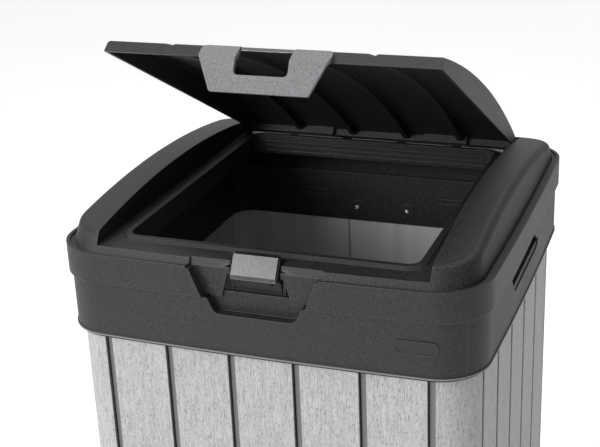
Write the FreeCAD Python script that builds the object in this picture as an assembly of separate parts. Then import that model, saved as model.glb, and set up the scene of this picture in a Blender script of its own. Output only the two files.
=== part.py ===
import FreeCAD, Part
import math
import os

V = FreeCAD.Vector

# ---- overall sizes (mm) ----
WIDTH = 450.0            # hood skirt, flat to flat, left to right
DEPTH = 452.0            # hood skirt, front to rear
CORNER_R = 54.0          # hood skirt corner radius in plan
COLLAR_Z = 710.0         # underside of the collar above the floor
FRONT_BOW = 3.0          # crown of the collar and hood front
SIDE_BOW = 2.0           # crown of the collar and hood sides

# ---- body walls ----
PLANK_COUNT = 5          # whole planks between two corners
PLANK_SPREAD = 2.0       # how far the end channels of the front stand out past the corner arcs
GROOVE_W = 8.0
GROOVE_SHIFT = 2.0       # groove centre to the right of the pitch line
GROOVE_DEPTH = 4.0
SLOT_W = 1.4             # shadow slot along one side of each channel
SLOT_DEPTH = 7.6
CELL_WEB = 3.5           # solid web between a channel and the hollow cell beside it
WALL_T = 12.0
SKIN_T = 3.0
LAP_T = 7.8
LAP_LEN = 12.0
BODY_INSET = 7.2         # collar outside to plank face
JOINT_GAP = 0.2
WALL_END_GAP = 0.3       # wall panel to the floor flange below it
WALL_TOP_GAP = 0.5       # wall panel to the collar web above it

# ---- collar ----
COLLAR_INSET = 3.6       # hood skirt outside to collar outside
COLLAR_T = 3.2
COLLAR_H = 61.5
BEAD_LOW = 2.4           # underside of the bead round the collar's lower edge
BEAD_TOP = 4.4
BEAD_OUT = 1.1
FOOT_IN = 1.5            # step below the bead
WEB_Z = 36.0
WEB_T = 3.0
WALL_GAP = 0.6           # wall inside to the inner skirt
INNER_DROP = 18.0        # inner skirt below the collar underside
INNER_T = 3.0
INNER_RISE = 7.0         # inner skirt above the web
BOSS_T = 1.2
LIP_U = 5.2
LIP_T = 3.0
LIP_RISE = 15.5          # locating lip above the collar's top
HOOD_DATUM = 61.5        # heights of the hood, lid and latch start this far below the collar's top
BADGE_SIDE = 59.9        # badge centre from the collar's side
BADGE_Z = 34.5
BADGE_HALF = 14.5
BADGE_R = 7.4
BADGE_RIM = 1.3

# ---- hood ----
PART_Z = 62.6            # hood skirt underside above the collar underside
SKIRT_TOP = 94.0
HOOD_T = 3.2
LEDGE_W = 8.5
RIM_EDGE = 3.4           # raised outer edge of the ledge
LEAN_Z = 92.0            # foot of the leaning front face
LEAN_FRONT = 0.5         # setback per unit of height
LEAN_SIDE = 0.24
LEAN_REAR = 0.3
VAULT_TOP = 128.4
VAULT_Y = -15.0
VAULT_SAG = 19.87        # fall of the vault from its crest to the front
EDGE_R = 9.0
SEAT_Z = 98.6
RIM_Z = 101.8
SHOULDER_W = 52.0        # hood side to the lid channel
SEAT_W = 20.0            # lid channel to the throat
THROAT_FRONT_W = 42.0    # hood front to the throat
THROAT_DROP = 78.0
RIM_W = 10.5
TROUGH_INSET = 18.0      # hood rear to the hinge trough
TROUGH_Z = 79.0
TROUGH_T = 2.0

# ---- lid ----
LID_GAP = 1.5            # lid to the channel on each side
LID_T = 3.0
LID_EDGE_R = 3.0
LID_Z = 99.5
LID_TAIL = 5.0           # lid behind its pivot
LID_OPEN = 28.0          # degrees the lid stands open at rest
LID_GROOVE_TOP = 10.0    # groove width at the surface
LID_GROOVE_LOW = 3.6
LID_GROOVE_DEPTH = 2.4
LID_RIB_W = 6.0
LID_RIB_DROP = 9.0
PIVOT_INSET = 40.0       # hood rear to the lid pivot
PIVOT_Z = 94.0
THROAT_BEHIND = 24.5     # throat rear to the lid pivot
BARREL_R = 6.5
BARREL_SPAN = (58.5, 111.5)
EAR_R = 5.2              # hinge ears, inside the sweep of the lid's rear wall
EAR_SPANS = ((52.0, 57.5), (112.5, 118.0))
PIN_END = 1.0            # pin past the outer ears
LID_PIN_R = 3.0
RUN_GAP = 0.08
SCREW_GAP = 0.05

# ---- front recess, strap and latch ----
RECESS_TOP = 67.5
RECESS_MID = 53.0
RECESS_FLOOR = 42.0
RECESS_R = 12.0
RECESS_STEP = 2.6        # collar recess narrower than the hood's on each side
RECESS_WALL = 2.6
RECESS_DEPTH = 11.0
STRAP_T = 4.0
STRAP_INSET = 4.0        # hood front to the strap's hanging face
STRAP_LOW = 65.0
STRAP_TOP = 112.6
STRAP_HALF = 50.0
STRAP_SLOPE = 0.449
STRAP_SHOULDER_R = 6.0
STRAP_CORNER_R = 2.0
STRAP_WINDOW_GAP = 2.9   # latch side to the strap's window
STRAP_WINDOW_LOW = 82.0
STRAP_WINDOW_R = 4.5
STRIKE_LOW = 107.6
STRIKE_TOP = 111.4
LATCH_X = 24.6
LATCH_COVER_IN = 1.4     # latch side to its cover
LATCH_INSET = 20.0       # hood front to the latch pivot
LATCH_PIVOT_Z = 64.0
LATCH_PIN_R = 2.0
LATCH_SCREW_OUT = 8.9    # latch side to a housing screw
LATCH_SCREW_INSET = 26.0
LATCH_SCREW_R = 1.5
SPRING_R = 2.75
SPRING_WIRE_R = 0.5
SPRING_TURNS = 8
SPRING_PITCH = 1.3

# ---- hood hinge ----
HINGE_R = 3.5
HINGE_HALF = 44.0        # half length of the hinge bracket
HINGE_LEAF_X = 24.0
HINGE_PIN_R = 1.6
HINGE_SCREW_X = 33.0
HINGE_SCREW_R = 2.0
LEAF_SCREW_X = 14.0
LEAF_SCREW_Z = 80.0
LEAF_SCREW_R = 1.7

# ---- base ----
FOOT_H = 8.0
FOOT_R = 15.0
FOOT_INSET = 33.0        # base outside to a foot's centre
BASE_H = 75.0
FLOOR_Z = 51.0
SLOT_LEN = 76.0          # drain slots in the floor plate
FLOOR_SLOT_W = 6.0
SLOT_ROW = 48.0
SLOT_COLUMN = 110.0
RIB_INSET = 40.0         # hood side to the end of a floor rib
TRAY_SIDE = 71.4         # base side to the tray
TRAY_GAP = 1.5
TRAY_REAR = 32.4
TRAY_T = 2.5
GRIP_X = 45.0
GRIP_DEPTH = 14.0
RUNNER_END = 22.4

# ---- places that follow from the sizes ----
HX = WIDTH / 2
HY = DEPTH / 2
CX = HX - COLLAR_INSET
CY = HY - COLLAR_INSET
CR = CORNER_R - COLLAR_INSET
BX = CX - BODY_INSET
BY = CY - BODY_INSET
BR = CR - BODY_INSET
Z0 = COLLAR_Z
ZH = Z0 + COLLAR_H - HOOD_DATUM
FAR = HX + HY            # past every side
PITCH_X = (WIDTH - 2 * CORNER_R + PLANK_SPREAD) / PLANK_COUNT
PITCH_Y = (DEPTH - 2 * CORNER_R) / PLANK_COUNT
INNER_U = BODY_INSET + WALL_T + WALL_GAP
CHANNEL_X = HX - SHOULDER_W
LID_X = CHANNEL_X - LID_GAP
THROAT_X = CHANNEL_X - SEAT_W
THROAT_FRONT = HY - THROAT_FRONT_W
PIVOT_Y = HY - PIVOT_INSET
LID_REAR = PIVOT_Y + LID_TAIL
THROAT_REAR = PIVOT_Y - THROAT_BEHIND
TROUGH_Y = HY - TROUGH_INSET
VAULT_SPAN = HY + VAULT_Y
VAULT_R = (VAULT_SPAN ** 2 + VAULT_SAG ** 2) / (2 * VAULT_SAG)
STRAP_Y = STRAP_INSET - HY
LATCH_PIVOT_Y = LATCH_INSET - HY
LATCH_SCREW_Y = LATCH_SCREW_INSET - HY
HINGE_Y = HY - 0.5
HINGE_Z = PART_Z
TRAY_X = CX - TRAY_SIDE
STRAP_WINDOW_X = LATCH_X + STRAP_WINDOW_GAP
LATCH_COVER_X = LATCH_X - LATCH_COVER_IN
LATCH_SCREW_X = LATCH_X + LATCH_SCREW_OUT


def arc3(a, b, c):
    return Part.Arc(a, b, c).toShape()


def outline(hx, hf, hr, r, z, bow_f=0.0, bow_s=0.0):
    """Closed plan outline with rounded corners and optional crowned sides."""
    s = r * math.sin(math.pi / 4)
    mid_y = (hr - hf) / 2
    pts = [V(-(hx - r), -hf, z), V(hx - r, -hf, z), V(hx, -(hf - r), z), V(hx, hr - r, z)]
    pts += [V(hx - r, hr, z), V(-(hx - r), hr, z), V(-hx, hr - r, z), V(-hx, -(hf - r), z)]
    mids = [V(0, -(hf + bow_f), z), V(hx - r + s, -(hf - r) - s, z), V(hx + bow_s, mid_y, z)]
    mids += [V(hx - r + s, hr - r + s, z), None, V(-(hx - r) - s, hr - r + s, z)]
    mids += [V(-hx - bow_s, mid_y, z), V(-(hx - r) - s, -(hf - r) - s, z)]
    edges = []
    for i in range(8):
        a = pts[i]
        b = pts[(i + 1) % 8]
        flat = mids[i] is None or (i == 0 and bow_f == 0) or (i in (2, 6) and bow_s == 0)
        if flat:
            edges.append(Part.makeLine(a, b))
        else:
            edges.append(arc3(a, mids[i], b))
    return Part.Wire(edges)


def plan_solid(off, z_low, z_high, bowed=True):
    """Solid of the collar's plan shape, moved in by off."""
    f = FRONT_BOW if bowed else 0.0
    s = SIDE_BOW if bowed else 0.0
    w = outline(CX - off, CY - off, CY - off, CR - off, z_low, f, s)
    return Part.Face(w).extrude(V(0, 0, z_high - z_low))


def plan_ring(off_out, off_in, z_low, z_high, bowed=True):
    return plan_solid(off_out, z_low, z_high, bowed).cut(plan_solid(off_in, z_low, z_high, bowed))


def box(x0, x1, y0, y1, z0, z1):
    return Part.makeBox(x1 - x0, y1 - y0, z1 - z0, V(x0, y0, z0))


def cyl_x(r, x0, x1, y, z):
    return Part.makeCylinder(r, x1 - x0, V(x0, y, z), V(1, 0, 0))


def cyl_y(r, x, y0, y1, z):
    return Part.makeCylinder(r, y1 - y0, V(x, y0, z), V(0, 1, 0))


def poly_y(points, y0, y1):
    """Prism along Y from (x, z) points."""
    w = Part.makePolygon([V(p[0], y0, p[1]) for p in points + points[:1]])
    return Part.Face(w).extrude(V(0, y1 - y0, 0))


def poly_x(points, x0, x1):
    """Prism along X from (y, z) points."""
    w = Part.makePolygon([V(x0, p[0], p[1]) for p in points + points[:1]])
    return Part.Face(w).extrude(V(x1 - x0, 0, 0))


def poly_z(points, z0, z1):
    w = Part.makePolygon([V(p[0], p[1], z0) for p in points + points[:1]])
    return Part.Face(w).extrude(V(0, 0, z1 - z0))


def joined(shapes):
    out = shapes[0].multiFuse(shapes[1:]) if len(shapes) > 1 else shapes[0]
    return out.removeSplitter()


def group(shapes):
    return Part.makeCompound(shapes)


def both_sides(shape):
    return [shape, shape.mirror(V(0, 0, 0), V(1, 0, 0))]


def vault_z(y, drop=0.0):
    r = VAULT_R - drop
    return ZH + VAULT_TOP - VAULT_R + math.sqrt(r * r - (y - VAULT_Y) ** 2)


def under_vault(drop, x0, x1):
    """Everything below the barrel-vaulted top, lowered by drop."""
    z_low = ZH - 60
    reach = HY + 34
    a = V(x0, -reach, vault_z(-reach, drop))
    m = V(x0, VAULT_Y, vault_z(VAULT_Y, drop))
    b = V(x0, reach, vault_z(reach, drop))
    c = V(x0, reach, z_low)
    d = V(x0, -reach, z_low)
    w = Part.Wire([arc3(a, m, b), Part.makeLine(b, c), Part.makeLine(c, d), Part.makeLine(d, a)])
    return Part.Face(w).extrude(V(x1 - x0, 0, 0))


def vault_groove(x):
    """V-sided groove that follows the vault from the lid's front to near its rear."""
    zc = ZH + VAULT_TOP - VAULT_R
    top = LID_GROOVE_TOP / 2
    low = LID_GROOVE_LOW / 2
    profile = [(x - top, 1.0), (x - top, 0.0), (x - low, -LID_GROOVE_DEPTH)]
    profile += [(x + low, -LID_GROOVE_DEPTH), (x + top, 0.0), (x + top, 1.0)]
    points = [V(px, VAULT_Y, zc + VAULT_R + pr) for px, pr in profile]
    face = Part.Face(Part.makePolygon(points + points[:1]))
    front = math.degrees(math.asin((HY + 20 + VAULT_Y) / VAULT_R))
    rear = math.degrees(math.asin((LID_REAR - 12 - VAULT_Y) / VAULT_R))
    face.rotate(V(0, VAULT_Y, zc), V(1, 0, 0), -rear)
    return face.revolve(V(0, VAULT_Y, zc), V(1, 0, 0), front + rear)


def lean_y(z, inset=0.0):
    """Leaning front face: y at height z above the collar underside."""
    foot = -(HY - LEDGE_W) + inset * math.sqrt(1 + LEAN_FRONT ** 2)
    return foot + (z - LEAN_Z) * LEAN_FRONT


def crown_body(inset):
    """Leaning block of the hood above its ledge, moved in by inset."""
    z_a = LEAN_Z - 6
    z_b = 140.0
    wires = []
    for z in (z_a, z_b):
        h = z - LEAN_Z
        hx = HX - LEDGE_W - inset - h * LEAN_SIDE
        hf = -lean_y(z, inset)
        hr = HY - LEDGE_W - inset - h * LEAN_REAR
        r = max(CORNER_R - LEDGE_W - inset - h * 0.25, 8.0)
        wires.append(outline(hx, hf, hr, r, ZH + z, FRONT_BOW, SIDE_BOW))
    return Part.makeLoft(wires, True, True)


# ------------------------------------------------------------------ body walls
def wall_ring(t0, t1, z0, z1):
    a = outline(BX - t0, BY - t0, BY - t0, BR - t0, z0)
    b = outline(BX - t1, BY - t1, BY - t1, BR - t1, z0)
    h = V(0, 0, z1 - z0)
    return Part.Face(a).extrude(h).cut(Part.Face(b).extrude(h))


def groove_centres(pitch):
    """Middle lines between planks, from one corner to the other."""
    return [(k - PLANK_COUNT / 2) * pitch for k in range(PLANK_COUNT + 1)]


def wall_cuts(z0, z1):
    """Channels between planks with a deep slot on one side, and the hollow cell behind each plank."""
    cuts = []
    g = GROOVE_W / 2
    out = 5.0
    for depth, lo, hi in ((GROOVE_DEPTH, -g, g), (SLOT_DEPTH, -g, -g + SLOT_W)):
        for c in groove_centres(PITCH_X):
            m = c + GROOVE_SHIFT
            cuts.append(box(m + lo, m + hi, -BY - out, -BY + depth, z0, z1))
            cuts.append(box(-m - hi, -m - lo, BY - depth, BY + out, z0, z1))
        for c in groove_centres(PITCH_Y):
            m = c + GROOVE_SHIFT
            cuts.append(box(BX - depth, BX + out, m + lo, m + hi, z0, z1))
            cuts.append(box(-BX - out, -BX + depth, -m - hi, -m - lo, z0, z1))
    t_in = WALL_T - SKIN_T + 0.5
    lap = LAP_LEN + 2.0
    web = g + CELL_WEB
    seam = PLANK_COUNT // 2
    for i in range(PLANK_COUNT):
        lo = groove_centres(PITCH_X)[i] + GROOVE_SHIFT + web
        hi = groove_centres(PITCH_X)[i + 1] + GROOVE_SHIFT - web
        cuts.append(box(lo, hi, -BY + SKIN_T, -BY + t_in, z0, z1))
        near_seam = lap if i == seam else 0.0
        cuts.append(box(-hi + near_seam, -lo - near_seam, BY - t_in, BY - SKIN_T, z0, z1))
        lo = groove_centres(PITCH_Y)[i] + GROOVE_SHIFT + web + (lap if i == 0 else 0.0)
        hi = groove_centres(PITCH_Y)[i + 1] + GROOVE_SHIFT - web - (lap if i == PLANK_COUNT - 1 else 0.0)
        cuts.append(box(BX - t_in, BX - SKIN_T, lo, hi, z0, z1))
        cuts.append(box(-BX + SKIN_T, -BX + t_in, -hi, -lo, z0, z1))
    return cuts


def make_walls():
    z0 = FLOOR_Z + WALL_END_GAP
    z1 = Z0 + WEB_Z - WALL_TOP_GAP
    outer = wall_ring(0, LAP_T, z0, z1)
    inner = wall_ring(LAP_T + JOINT_GAP, WALL_T, z0, z1)
    bridge = wall_ring(LAP_T, LAP_T + JOINT_GAP, z0, z1)
    cut_tool = group(wall_cuts(z0 - 1, z1 + 1))
    big = FAR
    y_j = groove_centres(PITCH_Y)[PLANK_COUNT]
    x_j = groove_centres(PITCH_X)[PLANK_COUNT // 2]
    h = JOINT_GAP / 2
    p = (z0 - 1, z1 + 1)

    def layered(region_out, region_in):
        shared = region_out.common(region_in)
        parts = [outer.common(region_out), bridge.common(shared), inner.common(region_in)]
        return joined(parts).cut(cut_tool)

    front = layered(box(-big, big, -big, -y_j - h, *p), box(-big, big, -big, -y_j + LAP_LEN - h, *p))
    sides = layered(box(0, big, -y_j + h, y_j - h, *p),
                    box(0, big, -y_j + LAP_LEN + h, y_j - LAP_LEN - h, *p))
    left = layered(box(-big, 0, -y_j + h, y_j - h, *p),
                   box(-big, 0, -y_j + LAP_LEN + h, y_j - LAP_LEN - h, *p))
    rl_out = box(-big, x_j - h, y_j + h, big, *p)
    rl_in = box(-big, x_j - LAP_LEN - h, y_j - LAP_LEN + h, big, *p)
    rr_out = box(x_j + h, big, y_j + h, big, *p)
    rr_in = box(x_j - LAP_LEN + h, big, y_j - LAP_LEN + h, big, *p)
    rear_left = layered(rl_out, rl_in)
    rear_right = layered(rr_out, rr_in)
    for side in (-1, 1):
        hole = cyl_y(HINGE_SCREW_R + 0.4, side * HINGE_SCREW_X, BY - WALL_T - 5, BY + 5, Z0)
        rear_left = rear_left.cut(hole)
        rear_right = rear_right.cut(hole)
    return {
        "front_panel": front,
        "right_panel": sides,
        "left_panel": left,
        "rear_panel_left": rear_left,
        "rear_panel_right": rear_right,
    }


# ---------------------------------------------------------------------- collar
def mitre_region(side):
    """Quarter of the plan between two corner mitres."""
    kx = CX - CR
    ky = CY - CR
    far = 200.0
    near = 100.0
    z = (Z0 - 60, Z0 + 120)
    g = JOINT_GAP
    if side == "front":
        pts = [(-kx - far, -ky - far), (kx + far, -ky - far)]
        pts += [(kx - near, -ky + near), (-kx + near, -ky + near)]
        return poly_z(pts, *z).translated(V(0, -g, 0))
    if side == "rear":
        pts = [(-kx - far, ky + far), (kx + far, ky + far), (kx - near, ky - near), (-kx + near, ky - near)]
        return poly_z(pts, *z).translated(V(0, g, 0))
    pts = [(kx + far, -ky - far), (kx + far, ky + far), (kx - near, ky - near), (kx - near, -ky + near)]
    return poly_z(pts, *z).translated(V(g, 0, 0))


def recess_prism(grow, z_top, y0, y1):
    """Tapered prism of the front hand recess with rounded lower corners, grown by grow."""
    slope = (RECESS_TOP - RECESS_MID) / (SKIRT_TOP - PART_Z)
    low = RECESS_FLOOR - grow
    half_top = RECESS_TOP + slope * (z_top - SKIRT_TOP) + grow
    half_low = RECESS_TOP + slope * (low - SKIRT_TOP) + grow
    pts = [(-half_top, ZH + z_top), (-half_low, ZH + low), (half_low, ZH + low), (half_top, ZH + z_top)]
    prism = poly_y(pts, y0, y1)
    corners = [e for e in prism.Edges if is_along_y(e) and e.Vertexes[0].Z < ZH + low + 1]
    return prism.makeFillet(RECESS_R + grow, corners)


def make_collar():
    z = Z0
    parts = [plan_ring(0, COLLAR_T, z, z + COLLAR_H)]
    parts.append(plan_ring(-BEAD_OUT, COLLAR_T, z + BEAD_LOW, z + BEAD_TOP))
    parts.append(plan_ring(0, LIP_U + LIP_T, z + COLLAR_H - 3, z + COLLAR_H))
    parts.append(plan_ring(LIP_U, LIP_U + LIP_T, z + COLLAR_H - 3, z + COLLAR_H + LIP_RISE))
    parts.append(plan_ring(0, INNER_U + INNER_T, z + WEB_Z, z + WEB_Z + WEB_T))
    rise = WEB_Z + WEB_T + INNER_RISE
    parts.append(plan_ring(INNER_U, INNER_U + INNER_T, z - INNER_DROP, z + rise, False))
    ring = joined(parts).cut(plan_ring(-BEAD_OUT - 2, FOOT_IN, z - 1, z + BEAD_LOW))
    right = ring.common(mitre_region("right")).cut(grip_slot())
    rear = ring.common(mitre_region("rear"))
    notch_x = HINGE_HALF + 3
    rear = rear.cut(box(-notch_x, notch_x, CY - 0.8, CY + 20, z + COLLAR_H - 3.2, z + COLLAR_H + 1))
    inner = CY - INNER_U
    for x in (-HINGE_SCREW_X, HINGE_SCREW_X):
        rear = rear.fuse(cyl_y(9, x, inner - INNER_T - BOSS_T, inner, z))
        rear = rear.cut(cyl_y(HINGE_SCREW_R + SCREW_GAP, x, inner - 20, CY + 20, z))
    return {
        "collar_front": add_hand_recess(ring.common(mitre_region("front"))),
        "collar_right": right,
        "collar_left": right.mirror(V(0, 0, 0), V(1, 0, 0)),
        "collar_rear": rear.removeSplitter(),
    }


def add_hand_recess(front):
    """Sink the hand recess into the front collar piece."""
    z = ZH
    rim = Z0 + COLLAR_H
    notch_x = RECESS_TOP + 6
    front = front.cut(box(-notch_x, notch_x, -FAR, -CY + RECESS_DEPTH + 1, rim, rim + LIP_RISE + 1))
    y_back = -CY + RECESS_DEPTH
    above = PART_Z + 20
    hollow_grow = -RECESS_STEP
    shell_grow = RECESS_WALL - RECESS_STEP
    shell = recess_prism(shell_grow, above, -FAR, y_back).common(plan_solid(0, z + 30, rim))
    plate = recess_prism(shell_grow, above, y_back - 3, y_back)
    plate = plate.common(box(-FAR, FAR, -FAR, 0, z + 30, z + 66))
    hollow = recess_prism(hollow_grow, above, -FAR, y_back - 3)
    front = joined([front, shell, plate]).cut(hollow)
    behind = box(-RECESS_TOP, RECESS_TOP, y_back, y_back + 11, z + RECESS_FLOOR + 4, z + 90)
    return front.cut(behind)


def grip_slot():
    """Carrying slot in the side of the collar with a scooped lower lip."""
    mouth = [(-74.0, 37.5), (58.0, 39.0), (34.0, 54.5), (-84.0, 50.0)]
    scoop = [(-74.0, 37.5), (58.0, 39.0), (50.0, 32.0), (-66.0, 30.5)]
    through = poly_x([(y, Z0 + z) for y, z in mouth], CX - 6, CX + 14)
    dished = poly_x([(y, Z0 + z) for y, z in scoop], CX + SIDE_BOW - 1.6, CX + 14)
    return through.fuse(dished)


def make_badge():
    """Blank raised pill on the front right of the collar."""
    z = Z0 + BADGE_Z
    x = CX - BADGE_SIDE
    pill = pill_prism(x, z, BADGE_HALF, BADGE_R)
    inner = pill_prism(x, z, BADGE_HALF, BADGE_R - BADGE_RIM)
    rim = plan_ring(-1.0, -0.05, z - 12, z + 12).common(pill)
    plate = plan_ring(-0.5, -0.05, z - 12, z + 12).common(inner)
    return joined([rim.cut(inner), plate])


def pill_prism(x, z, half, r):
    """Round-ended bar along X, run through the front of the collar."""
    middle = box(x - half, x + half, -FAR, -CY / 2, z - r, z + r)
    ends = [cyl_y(r, x - half, -FAR, -CY / 2, z), cyl_y(r, x + half, -FAR, -CY / 2, z)]
    return joined([middle] + ends)


# ------------------------------------------------------------------------ hood
def skirt_outline(off, z_low, z_high):
    return plan_solid(off - COLLAR_INSET, z_low, z_high)


def make_hood():
    z = ZH
    skirt = skirt_outline(0, z + PART_Z, z + SKIRT_TOP).cut(skirt_outline(HOOD_T, z + PART_Z, z + SKIRT_TOP))
    ledge = skirt_outline(0, z + LEAN_Z - 3.2, z + SKIRT_TOP)
    ledge = ledge.cut(skirt_outline(LEDGE_W + 3.5, z + LEAN_Z - 4, z + SKIRT_TOP + 1))
    valley = skirt_outline(RIM_EDGE, z + LEAN_Z - 0.4, z + SKIRT_TOP + 1)
    skirt_edges = joined([skirt, ledge]).cut(valley)
    crown = crown_body(0).common(under_vault(0, -FAR, FAR))
    crown = round_top(crown, EDGE_R)
    core = crown_body(HOOD_T).common(under_vault(HOOD_T, -FAR, FAR))
    core_low = box(-FAR, FAR, -FAR, FAR, z + 40, z + LEAN_Z - 6)
    shell = crown.cut(core).cut(core_low)
    channel = box(-CHANNEL_X, CHANNEL_X, -FAR, TROUGH_Y, z + SEAT_Z, z + 160)
    inside = crown_body(0.4).common(under_vault(0.4, -FAR, FAR))
    wall = box(CHANNEL_X, CHANNEL_X + 3, -FAR, TROUGH_Y + TROUGH_T, z + TROUGH_Z - 3, z + 160).common(inside)
    rear_wall = box(-CHANNEL_X - 3, CHANNEL_X + 3, TROUGH_Y, TROUGH_Y + TROUGH_T, z + TROUGH_Z - 3, z + 160)
    rear_wall = rear_wall.common(inside)
    seat_x = CHANNEL_X + 3
    seat = box(-seat_x, seat_x, -FAR, THROAT_REAR + RIM_W, z + SEAT_Z - 3, z + SEAT_Z).common(inside)
    trough = [box(-CHANNEL_X - 3, CHANNEL_X + 3, THROAT_REAR + RIM_W - 3, TROUGH_Y + TROUGH_T,
                  z + TROUGH_Z - 3, z + TROUGH_Z)]
    trough.append(box(-CHANNEL_X - 3, CHANNEL_X + 3, THROAT_REAR + RIM_W - 3, THROAT_REAR + RIM_W,
                      z + TROUGH_Z - 3, z + SEAT_Z))
    hood = joined([shell.cut(channel), skirt_edges, seat, rear_wall] + trough + both_sides(wall))
    hood = joined([hood, throat_walls(), rim_lip()])
    hood = hood.cut(throat_hole(0, z + 60, z + 150))
    hood = cut_front_recess(hood)
    hood = joined([hood] + lid_ears())
    hinge_x = HINGE_HALF + 3.5
    hood = hood.cut(box(-hinge_x, hinge_x, HY - 4.6, HY + 10, z + PART_Z - 1, z + PART_Z + 4.4))
    ear_in = EAR_SPANS[0][0]
    ear_out = EAR_SPANS[1][1]
    for bore in both_sides(cyl_x(LID_PIN_R + SCREW_GAP, ear_in - 1.5, ear_out + 1.5, PIVOT_Y, z + PIVOT_Z)):
        hood = hood.cut(bore)
    for side in (1, -1):
        x = side * LEAF_SCREW_X
        hood = hood.cut(cyl_y(LEAF_SCREW_R + SCREW_GAP, x, HY - 9, HY + 5, z + LEAF_SCREW_Z))
        base = V(side * LATCH_SCREW_X, LATCH_SCREW_Y, z + 89)
        pilot = Part.makeCylinder(LATCH_SCREW_R + SCREW_GAP, 8, base)
        hood = hood.cut(pilot)
    return hood.removeSplitter()


def round_top(solid, r):
    """Round the edge between the leaning sides and the vaulted top."""
    edges = []
    for e in solid.Edges:
        zs = [v.Z for v in e.Vertexes]
        if min(zs) > ZH + 98:
            edges.append(e)
    return solid.makeFillet(r, edges)


def throat_hole(grow, z_low, z_high):
    mid = (THROAT_REAR - THROAT_FRONT) / 2
    half = (THROAT_FRONT + THROAT_REAR) / 2 + grow
    w = outline(THROAT_X + grow, half, half, 12.0 + grow, z_low)
    return Part.Face(w).extrude(V(0, 0, z_high - z_low)).translated(V(0, mid, 0))


def throat_walls():
    return throat_hole(3, ZH + THROAT_DROP, ZH + SEAT_Z).cut(throat_hole(0, ZH + THROAT_DROP, ZH + SEAT_Z))


def rim_lip():
    mid = (THROAT_REAR - THROAT_FRONT) / 2
    half = (THROAT_FRONT + THROAT_REAR) / 2
    wires = []
    for z, grow in ((SEAT_Z - 1, RIM_W), (RIM_Z, RIM_W - 4.5)):
        wires.append(outline(THROAT_X + grow, half + grow, half + grow, 12 + grow, ZH + z))
    return Part.makeLoft(wires, True, True).translated(V(0, mid, 0))


def cut_front_recess(hood):
    z = ZH
    y_face = -(HY - LEDGE_W)
    pts = [(-RECESS_TOP, z + SKIRT_TOP + 2), (-RECESS_MID, z + PART_Z - 3)]
    pts += [(RECESS_MID, z + PART_Z - 3), (RECESS_TOP, z + SKIRT_TOP + 2)]
    wide = [(-RECESS_TOP - 2.6, z + SKIRT_TOP - 0.4), (-RECESS_MID - 2.6, z + PART_Z)]
    wide += [(RECESS_MID + 2.6, z + PART_Z), (RECESS_TOP + 2.6, z + SKIRT_TOP - 0.4)]
    hood = hood.cut(poly_y(pts, -FAR, y_face))
    lining = poly_y(wide, -FAR, y_face + 3).common(skirt_outline(0, z + PART_Z, z + SKIRT_TOP))
    lining = lining.cut(poly_y(pts, -FAR, y_face + 4))
    apron_low = RECESS_MID - RECESS_STEP - 2.0
    apron = [(-RECESS_TOP + 1.2, z + LEAN_Z + 0.5), (-apron_low, z + PART_Z - 2.1)]
    apron += [(apron_low, z + PART_Z - 2.1), (RECESS_TOP - 1.2, z + LEAN_Z + 0.5)]
    upper = [(-RECESS_TOP - 1, z + LEAN_Z + 0.5), (-RECESS_MID - 2, z + PART_Z)]
    upper += [(RECESS_MID + 2, z + PART_Z), (RECESS_TOP + 1, z + LEAN_Z + 0.5)]
    plate = joined([poly_y(apron, y_face, y_face + 3), poly_y(upper, y_face, y_face + 3)])
    hood = joined([hood, lining, plate])
    top_x = LATCH_X + 4.9
    low_x = LATCH_X + 12.9
    window = [(-top_x, z + 86), (-low_x, z + PART_Z - 4), (low_x, z + PART_Z - 4), (top_x, z + 86)]
    hood = hood.cut(poly_y(window, -FAR, y_face + 4))
    notch_x = LATCH_X + 1.9
    hood = hood.cut(box(-notch_x, notch_x, -FAR, LATCH_PIVOT_Y + 9.7, z + 80, z + 130))
    relief_x = RECESS_TOP + 1.5
    relief = [(-FAR, z + LEAN_Z - 0.4), (lean_y(LEAN_Z) + 0.5, z + LEAN_Z - 0.4)]
    relief += [(lean_y(SEAT_Z + 4) + 0.5, z + SEAT_Z + 4), (-FAR, z + SEAT_Z + 4)]
    return hood.cut(poly_x(relief, -relief_x, relief_x))


def lid_ears():
    z = ZH
    ears = []
    for x0, x1 in EAR_SPANS:
        ear = box(x0, x1, PIVOT_Y - EAR_R, PIVOT_Y + EAR_R, z + TROUGH_Z - 1, z + PIVOT_Z)
        ear = ear.fuse(cyl_x(EAR_R, x0, x1, PIVOT_Y, z + PIVOT_Z))
        ears += both_sides(ear)
    return ears


# ------------------------------------------------------------------------- lid
def lid_block(inset, x_in):
    z = ZH
    front = [(lean_y(LEAN_Z - 20, inset), z + LEAN_Z - 20), (lean_y(150, inset), z + 150)]
    front += [(LID_REAR - inset, z + 150), (LID_REAR - inset, z + LEAN_Z - 20)]
    block = poly_x(front, -LID_X + x_in, LID_X - x_in)
    return block.common(under_vault(inset, -FAR, FAR))


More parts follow.
